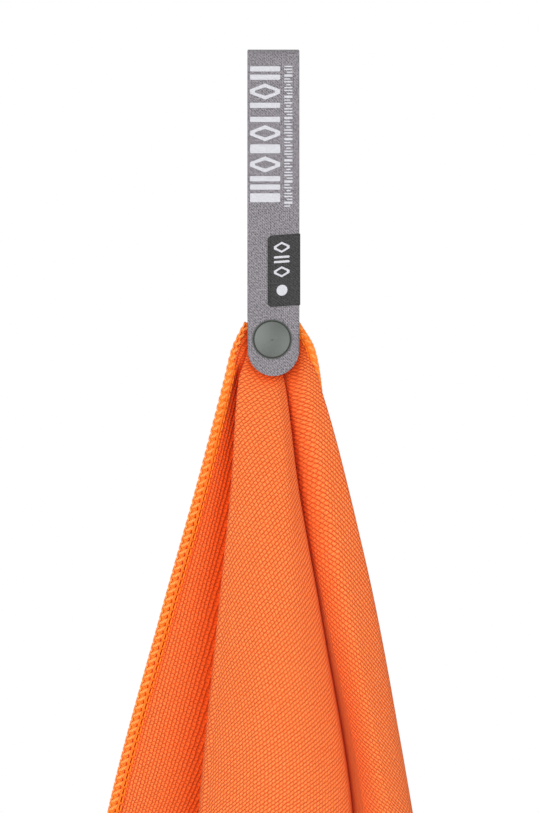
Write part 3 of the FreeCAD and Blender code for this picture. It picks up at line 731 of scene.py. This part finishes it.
def make_strap_flap():
    """The front leg from the bend down to its half-round tip."""
    tip = RIBBON_WIDTH / 2
    end_half = 0.03
    z_straight = np.linspace(0.0, TIP_CENTRE_Z, 150)
    angle = np.linspace(0, math.pi / 2, 26)[1:]
    z_tip = TIP_CENTRE_Z - tip * np.sin(angle)
    z = np.concatenate([z_straight, z_tip])
    width = np.concatenate([ribbon_half_width(z_straight), tip * np.cos(angle) * 0.985 + end_half])
    line = np.stack([np.full(len(z), -LEG_Y), z], axis=1)
    return ribbon("strap_flap", line, width, way=-1)


def make_strap_loop():
    """The bend over the rail and the back leg down to the seam."""
    angle = np.linspace(math.pi, 0, 33)
    bend = LEG_Y * np.stack([np.cos(angle), np.sin(angle)], axis=1)
    straight = np.linspace(0.0, BACK_LEG_CENTRE_Z, 90)[1:]
    turn = np.linspace(0, math.pi / 2, 22)[1:]
    z = np.concatenate([straight, BACK_LEG_CENTRE_Z - BACK_LEG_CORNER * np.sin(turn)])
    back = np.stack([np.full(len(z), LEG_Y), z], axis=1)
    line = np.concatenate([bend, back])
    width = np.concatenate([np.full(len(bend), RIBBON_WIDTH / 2), back_leg_half_width(z)])
    return ribbon("strap_loop", line, width)


def plate(name, outline, y, thickness, bevel):
    """A thin flat plate in the XZ plane with a soft front edge. outline is its corners, y its back face."""
    outline = np.asarray(outline, float)
    centre = outline.mean(axis=0)
    inner = centre + (outline - centre) * (1 - bevel / np.abs(outline - centre).max())
    rings = [(outline, y), (outline, y - thickness * 0.7), (inner, y - thickness)]
    points = [(x, depth, z) for corners, depth in rings for x, z in corners]
    count = len(outline)
    faces = grid_faces(len(rings), count, close=True)
    faces.append(tuple(range(count))[::-1])
    faces.append(tuple(2 * count + k for k in range(count)))
    uv = [(x * MM, z * MM) for corners, depth in rings for x, z in corners]
    return add_mesh(name, points, faces, uv, smooth=False)


def join(objects, name):
    """Several meshes as one piece."""
    with bpy.context.temp_override(active_object=objects[0], selected_editable_objects=objects):
        bpy.ops.object.join()
    objects[0].name = name
    return objects[0]


def bar(x0, x1, top, height):
    """A bar's outline."""
    return [(x0, top), (x1, top), (x1, top - height), (x0, top - height)]


def blunt(x0, x1, top, height, corner):
    """A bar's outline with its corners cut."""
    low = top - height
    return [(x0 + corner, top), (x1 - corner, top), (x1, top - corner), (x1, low + corner),
            (x1 - corner, low), (x0 + corner, low), (x0, low + corner), (x0, top - corner)]


def ring(name, outer, inner, y, thickness):
    """A flat ring in the XZ plane between two outlines with the same number of corners."""
    loops = [(outer, y), (outer, y - thickness), (inner, y - thickness), (inner, y)]
    points = [(x, depth, z) for corners, depth in loops for x, z in corners]
    count = len(outer)
    faces = grid_faces(len(loops), count, close=True)
    faces.extend((3 * count + j, 3 * count + (j + 1) % count, (j + 1) % count, j) for j in range(count))
    uv = [(x * MM, z * MM) for corners, depth in loops for x, z in corners]
    return add_mesh(name, points, faces, uv, smooth=False)


MARK_SINK = 0.02  # how far a mark's back lies in the surface under it
MARK_BEVEL = 0.02

# Generic printed column, from the top down: the kind of mark, its height, and the gap below it.
PRINT_TOP = -3.2
PRINT_LEFT = -9.0
PRINT_RIGHT = 2.6
PRINT_THICK = 0.07
PRINT_MARKS = (("bar", 2.0, 1.2), ("bar", 2.0, 1.4), ("diamond", 6.2, 1.2), ("bar", 2.0, 3.4),
               ("bar", 2.0, 1.2), ("diamond", 6.2, 1.2), ("bar", 3.4, 1.2), ("diamond", 6.2, 1.4),
               ("bar", 2.0, 1.2), ("bar", 2.0, 1.4), ("bar", 3.4, 0.0))
# Generic printed dashes in the narrow column: left end, right end, height, repeated down the strap.
DASHES_TOP = -3.0
DASHES_BOTTOM = -57.0
DASH_GAP = 0.62
PRINT_DASHES = ((4.2, 7.3, 0.5), (4.2, 7.3, 0.5), (5.2, 7.3, 0.45), (4.2, 7.3, 0.9), (4.2, 6.4, 0.45),
                (4.2, 7.3, 0.5), (5.0, 6.6, 0.5))


def diamond(x0, x1, top, height, stroke):
    """The outer and inner outline of a hollow diamond with blunt left and right ends."""
    middle, half = top - height / 2, height / 2
    centre, reach = (x0 + x1) / 2, (x1 - x0) / 2

    def shape(h, r, tip):
        return [(centre, middle + h), (centre + r, middle + tip), (centre + r, middle - tip),
                (centre, middle - h), (centre - r, middle - tip), (centre - r, middle + tip)]

    return shape(half, reach, half * 0.25), shape(half - stroke, reach - stroke * 1.3, half * 0.12)


def finish_marks(marks, name):
    """The marks as one piece in the pale print."""
    made = join(marks, name)
    made.data.materials.clear()
    made.data.materials.append(PRINT)
    return made


def make_print():
    """Generic printed marks: a wide column of bars and hollow diamonds, and a narrow column of dashes."""
    front = -RIBBON_FACE + MARK_SINK
    marks = []
    z = PRINT_TOP
    for kind, height, gap in PRINT_MARKS:
        if kind == "bar":
            outline = blunt(PRINT_LEFT, PRINT_RIGHT, z, height, 0.3)
            marks.append(plate("mark", outline, front, PRINT_THICK, MARK_BEVEL))
        else:
            outlines = diamond(PRINT_LEFT, PRINT_RIGHT, z, height, 1.5)
            marks.append(ring("mark", *outlines, front, PRINT_THICK))
        z -= height + gap
    z = DASHES_TOP
    for left, right, height in itertools.cycle(PRINT_DASHES):
        marks.append(plate("mark", bar(left, right, z, height), front, PRINT_THICK, MARK_BEVEL))
        z -= height + DASH_GAP
        if z <= DASHES_BOTTOM:
            break
    return finish_marks(marks, "strap_print")


def label_place(x, z):
    """A place on the label, which sits a little askew on the strap."""
    return x, z + (x - LABEL_CENTRE_X) * LABEL_SLANT


def label_inset(z):
    """How far the label's rounded corners draw in its left edge at a level."""
    near = max(0.0, LABEL_CORNER - min(z - LABEL_BOTTOM, LABEL_TOP - z))
    return LABEL_CORNER - math.sqrt(max(LABEL_CORNER ** 2 - near ** 2, 0.0))


def make_label():
    """The woven label, folded round the strap's right edge, with rounded corners on its left."""
    middle = (RIBBON_FACE + BEND_RADIUS) / 2
    outer = RIBBON_FACE + LABEL_RISE - middle
    inner = outer - LABEL_THICK
    # The section: share of the way from the left edge to the fold, then x and y past it.
    bends = np.linspace(-math.pi / 2, math.pi / 2, 9)
    shares = np.linspace(0, 1, 9)[:-1]
    profile = ([(s, 0.0, -outer) for s in shares]
               + [(1.0, outer * math.cos(a), outer * math.sin(a)) for a in bends]
               + [(s, 0.0, outer) for s in shares[::-1]]
               + [(s, 0.0, inner) for s in shares]
               + [(1.0, inner * math.cos(a), inner * math.sin(a)) for a in bends[::-1]]
               + [(s, 0.0, -inner) for s in shares[::-1]])
    fold = RIBBON_WIDTH / 2 - RIBBON_THICK / 2
    levels = np.linspace(LABEL_BOTTOM, LABEL_TOP, 26)
    points, uv = [], []
    for z in levels:
        left = LABEL_LEFT + label_inset(z)
        for share, dx, dy in profile:
            x = left + (fold - left) * share + dx
            px, pz = label_place(x, z)
            points.append((px, -middle + dy, pz))
            uv.append((x * MM, z * MM))
    count = len(profile)
    faces = grid_faces(len(levels), count, close=True)
    for row in (0, len(levels) - 1):
        first, last = row * count, row * count + count - 1
        strip = [(first + k, first + k + 1, last - 1 - k, last - k) for k in range(count // 2 - 1)]
        faces.extend(strip if row else [f[::-1] for f in strip])
    label = add_mesh("woven_label", points, faces, uv)
    label.data.materials.append(LABEL)
    return label


def stitch_path(start, end, rise):
    """One stitch that dips in at both ends, as a short arc along the outward direction rise."""
    start, end, rise = (np.asarray(p, float) for p in (start, end, rise))
    share = np.array([0.0, 0.12, 0.35, 0.65, 0.88, 1.0])
    lift = np.array([-0.15, 0.55, 1.0, 1.0, 0.55, -0.15])
    return start + (end - start) * share[:, None] + rise * lift[:, None]


LABEL_STITCH_X = -1.25
LABEL_STITCH_TOP = -69.6
LABEL_STITCH_END = -93.6
LABEL_STITCH = 1.45
LABEL_STITCH_PITCH = 2.1
LABEL_STITCH_RISE = 0.16
LABEL_STITCH_RADIUS = 0.15


def make_label_thread():
    """The stitches down the label's inner edge, on both faces of the strap."""
    front, back = -RIBBON_FACE - LABEL_RISE, -BEND_RADIUS + LABEL_RISE
    paths = []
    for z in np.arange(LABEL_STITCH_TOP, LABEL_STITCH_END, -LABEL_STITCH_PITCH):
        x0, z0 = label_place(LABEL_STITCH_X, z)
        x1, z1 = label_place(LABEL_STITCH_X, z - LABEL_STITCH)
        for y, rise in ((front, -LABEL_STITCH_RISE), (back, LABEL_STITCH_RISE)):
            paths.append(stitch_path((x0, y, z0), (x1, y, z1), (0, rise, 0)))
    thread = tubes("label_thread", paths, LABEL_STITCH_RADIUS)
    thread.data.materials.append(LABEL_THREAD)
    return thread


LABEL_MARK_LEFT = 0.2
LABEL_MARK_RIGHT = 6.2
LABEL_MARK_THICK = 0.08
LABEL_BARS = (-76.0, -77.8)
LABEL_DIAMONDS = (-70.6, -80.0)
LABEL_DISC = (3.3, -89.2, 2.1)  # x and z of its middle, and its radius


def make_label_mark():
    """Generic woven marks on the label: a hollow diamond, two bars, a hollow diamond and a disc."""
    front = -RIBBON_FACE - LABEL_RISE + MARK_SINK

    def askew(corners):
        return [label_place(x, z) for x, z in corners]

    def filled(corners):
        return plate("mark", askew(corners), front, LABEL_MARK_THICK, MARK_BEVEL)

    marks = [filled(blunt(LABEL_MARK_LEFT, LABEL_MARK_RIGHT, top, 0.85, 0.2)) for top in LABEL_BARS]
    for top in LABEL_DIAMONDS:
        outlines = diamond(LABEL_MARK_LEFT, LABEL_MARK_RIGHT, top, 4.2, 0.8)
        marks.append(ring("mark", *(askew(c) for c in outlines), front, LABEL_MARK_THICK))
    x, z, radius = LABEL_DISC
    turn = np.linspace(0, 2 * math.pi, 24, endpoint=False)
    marks.append(filled([(x + radius * math.cos(a), z - radius * math.sin(a)) for a in turn]))
    return finish_marks(marks, "label_mark")


def make_seam_thread():
    """The square of stitches that holds the strap on the towel, on the strap's face and behind the cloth."""
    corners = np.array([(-SEAM_HALF, SEAM_TOP), (SEAM_HALF, SEAM_TOP),
                        (SEAM_HALF, SEAM_BOTTOM), (-SEAM_HALF, SEAM_BOTTOM)])
    faces = ((BEND_RADIUS - SEAM_SINK, -SEAM_RISE_STRAP), (CLOTH_Y + CLOTH_THICK / 2, SEAM_RISE_CLOTH))
    paths = []
    for corner, after in zip(corners, np.roll(corners, -1, axis=0)):
        count = int(np.linalg.norm(after - corner) // SEAM_STITCH)
        for i in range(count):
            x0, z0 = corner + (after - corner) * (i + 0.1) / count
            x1, z1 = corner + (after - corner) * (i + 0.86) / count
            for y, rise in faces:
                paths.append(stitch_path((x0, y, z0), (x1, y, z1), (0, rise, 0)))
    thread = tubes("seam_thread", paths, SEAM_RADIUS)
    thread.data.materials.append(GREY_THREAD)
    return thread


# ---------------------------------------------------------------- assembly


def hang_on_seam(*pieces):
    """Bakes the placement of each cloth piece of the hanging towel into its mesh."""
    for piece in pieces:
        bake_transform(piece)


def fold_under_bend(*pieces):
    """Bakes the placement of each piece of the front leg into its mesh."""
    for piece in pieces:
        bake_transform(piece)


sheet_points, sheet_flat = make_sheet()
towel = build_towel(sheet_points, sheet_flat)
left_loops, left_needle = overlock("overlock_left_edge", *column_edge(sheet_points, 0), narrow=0.35)
right_loops, right_needle = overlock("overlock_right_edge", *column_edge(sheet_points, -1), narrow=0.35)
hem_loops, hem_needle = overlock("overlock_hem_edge", *hem_edge(sheet_points))
edges = (left_loops, left_needle, right_loops, right_needle)
hang_on_seam(towel, *edges)
for piece in (hem_loops, hem_needle):
    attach(piece, "towel")
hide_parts("towel_head", "towel_body")
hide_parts("overlock_left", "overlock_head")
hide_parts("overlock_right")
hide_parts("overlock_hem")

flap = make_strap_flap()
marks = make_print()
fold_under_bend(flap, marks)
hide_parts("strap_front")
loop = make_strap_loop()
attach(loop, "loop_back")
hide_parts("strap_back")

label = make_label()
label_thread = make_label_thread()
label_mark = make_label_mark()
for piece in (label, label_thread, label_mark):
    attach(piece, "loop_front")
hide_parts("side_label")
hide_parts("label_stitching")
seam = make_seam_thread()
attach(seam, "loop_back")
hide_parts("seam_stitching")

for node, material in (("snap_cap", CAP), ("cap_rivet", METAL), ("snap_socket", METAL), ("snap_stud", METAL),
                       ("snap_eyelet", METAL), ("snap_spring", SPRING_STEEL)):
    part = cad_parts[node]
    part.data.materials.clear()
    part.data.materials.append(material)


# ---------------------------------------------------------------- the studio


FLOOR_RADIUS = 8000.0
FLOOR_DROP = 30.0


def make_floor():
    """A round pale floor under the hem."""
    turn = np.linspace(0, 2 * math.pi, 96, endpoint=False)
    z = cad_low.z / MM - FLOOR_DROP
    rim = [(FLOOR_RADIUS * math.cos(a), FLOOR_RADIUS * math.sin(a), z) for a in turn]
    floor = add_mesh("floor", rim, [tuple(range(len(rim)))], smooth=False)
    n = Nodes("pale_floor")
    grain = n.noise(n.place(), 3.0, 3.0)
    n.finish(n.mix(grain, (0.84, 0.84, 0.84, 1), (0.88, 0.88, 0.88, 1)), 0.9, n.bump(grain, 0.0002, 0.2))
    floor.data.materials.append(n.material)


def make_light(name, place, target, size, power):
    """A soft box of that width and height that points at the target and isn't seen itself."""
    data = bpy.data.lights.new(name, "AREA")
    data.shape = "RECTANGLE"
    data.size, data.size_y = size
    data.energy = power
    light = bpy.data.objects.new(name, data)
    bpy.context.scene.collection.objects.link(light)
    light.location = place
    direction = np.asarray(target, float) - np.asarray(place, float)
    light.rotation_mode = "QUATERNION"
    light.rotation_quaternion = Vector(direction).to_track_quat("-Z", "Y")
    light.visible_camera = False


SKY_LIGHT = 0.72
SKY_SEEN = 1.0


def make_world():
    """A white surround that is brighter to the camera than the light it gives the object."""
    world = bpy.data.worlds.new("studio")
    bpy.context.scene.world = world
    world.use_nodes = True
    tree = world.node_tree
    light = tree.nodes["Background"]
    seen = tree.nodes.new("ShaderNodeBackground")
    for node, strength in ((light, SKY_LIGHT), (seen, SKY_SEEN)):
        node.inputs["Color"].default_value = (1, 1, 1, 1)
        node.inputs["Strength"].default_value = strength
    ray = tree.nodes.new("ShaderNodeLightPath")
    mix = tree.nodes.new("ShaderNodeMixShader")
    tree.links.new(ray.outputs["Is Camera Ray"], mix.inputs["Fac"])
    tree.links.new(light.outputs["Background"], mix.inputs[1])
    tree.links.new(seen.outputs["Background"], mix.inputs[2])
    tree.links.new(mix.outputs["Shader"], tree.nodes["World Output"].inputs["Surface"])


def make_camera():
    """A straight front view through a long lens."""
    view_height, distance, sensor = 0.313, 1.6, 36.0
    centre_x, centre_z = -0.0015, -0.1339
    data = bpy.data.cameras.new("camera")
    data.sensor_width = sensor
    data.lens = sensor * distance / view_height
    data.clip_end = 100.0
    camera = bpy.data.objects.new("camera", data)
    bpy.context.scene.collection.objects.link(camera)
    camera.location = (centre_x, -distance, centre_z)
    camera.rotation_euler = (math.pi / 2, 0, 0)
    bpy.context.scene.camera = camera


make_floor()
make_world()
make_light("key", (-0.7, -1.6, 0.1), (0, 0, -0.3), (1.2, 1.4), 17.0)
make_light("fill", (0.8, -1.6, -0.5), (0, 0, -0.4), (1.0, 1.6), 14.0)
make_camera()
bpy.context.scene.view_settings.view_transform = "Standard"
